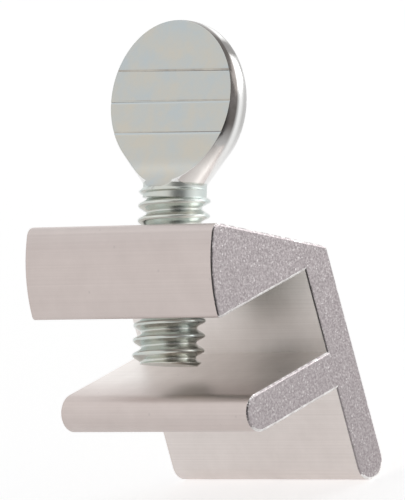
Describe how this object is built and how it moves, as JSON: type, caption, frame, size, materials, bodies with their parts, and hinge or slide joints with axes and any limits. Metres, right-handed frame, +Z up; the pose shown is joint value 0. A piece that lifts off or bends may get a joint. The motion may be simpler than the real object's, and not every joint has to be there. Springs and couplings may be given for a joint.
{
  "type": "sliding window lock",
  "caption": "F-shaped aluminium bar that slips over a sliding window's track, with a leaning thumb screw that clamps the track against its lip.",
  "frame": {"origin": "mid-length of the bar, in the corner of the slot where the top of the lip meets the spine", "axes": "+X along the track, +Y from the mouth of the slot towards the spine, +Z up the spine from the lip to the arm"},
  "size_m": [0.0224, 0.017, 0.0422],
  "materials": {
    "extruded_aluminium": "mill finish with saw-cut ends",
    "zinc_plated_steel": "bright zinc plate"
  },
  "bodies": {
    "clamp": {"clamp_body": "extruded_aluminium"},
    "screw": {"thumb_screw": "zinc_plated_steel"}
  },
  "joints": [
    {"name": "screw_travel", "type": "slide", "parent": "clamp", "child": "screw", "axis": [0, 0.4226, 0.9063], "range_m": [-0.001, 0.007]}
  ]
}
